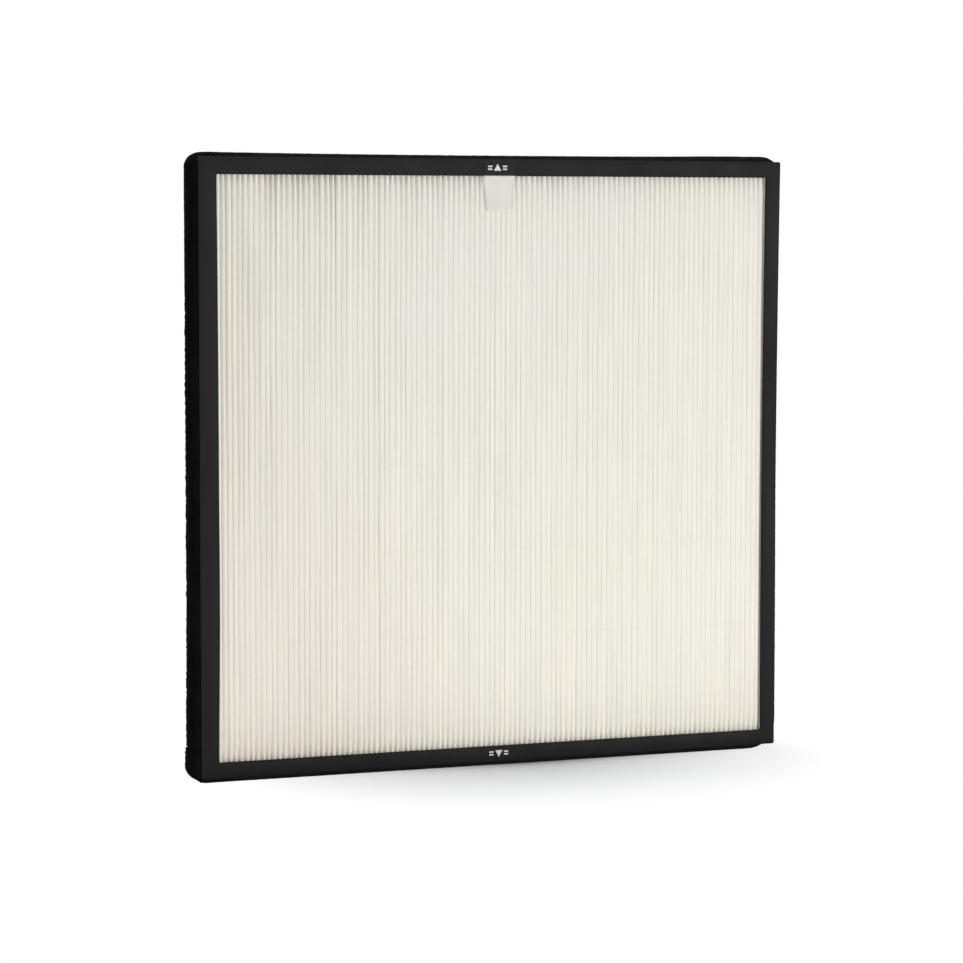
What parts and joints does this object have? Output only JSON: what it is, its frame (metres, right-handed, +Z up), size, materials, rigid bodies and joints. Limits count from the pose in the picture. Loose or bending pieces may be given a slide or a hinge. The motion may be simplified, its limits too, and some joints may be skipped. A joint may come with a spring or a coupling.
{
  "type": "pleated air filter panel",
  "caption": "Square pleated air filter panel: a flat dark face frame and tray round a white folded filter sheet, with a foam gasket round the edge and a film pull tab.",
  "frame": {"origin": "middle of the panel's width and depth, at the surface that its lower edge stands on", "axes": "+Z up along the pleats, +X to the right seen from the front, +Y from the front face to the back"},
  "size_m": [0.3804, 0.0262, 0.3754],
  "materials": {
    "frame_plastic": "matte charcoal, fine moulded texture",
    "tray_plastic": "matte black, fine moulded texture",
    "gasket_foam": "black open-cell foam strip",
    "filter_sheet": "warm white glass fibre and fleece filter sheet",
    "edge_felt": "white needled felt",
    "clear_film": "thin frosted clear film",
    "glue": "translucent hot-melt glue"
  },
  "bodies": {
    "root": {"face_frame": "frame_plastic", "tray": "tray_plastic", "foam_gasket": "gasket_foam", "pleated_sheet": "filter_sheet", "top_edge_band": "edge_felt", "bottom_edge_band": "edge_felt", "left_edge_band": "edge_felt", "right_edge_band": "edge_felt", "pull_tab": "clear_film", "front_glue_bead_1": "glue", "front_glue_bead_2": "glue", "front_glue_bead_3": "glue", "front_glue_bead_4": "glue", "front_glue_bead_5": "glue", "front_glue_bead_6": "glue", "front_glue_bead_7": "glue", "rear_glue_bead_1": "glue", "rear_glue_bead_2": "glue", "rear_glue_bead_3": "glue", "rear_glue_bead_4": "glue", "rear_glue_bead_5": "glue", "rear_glue_bead_6": "glue", "rear_glue_bead_7": "glue"}
  },
  "joints": []
}
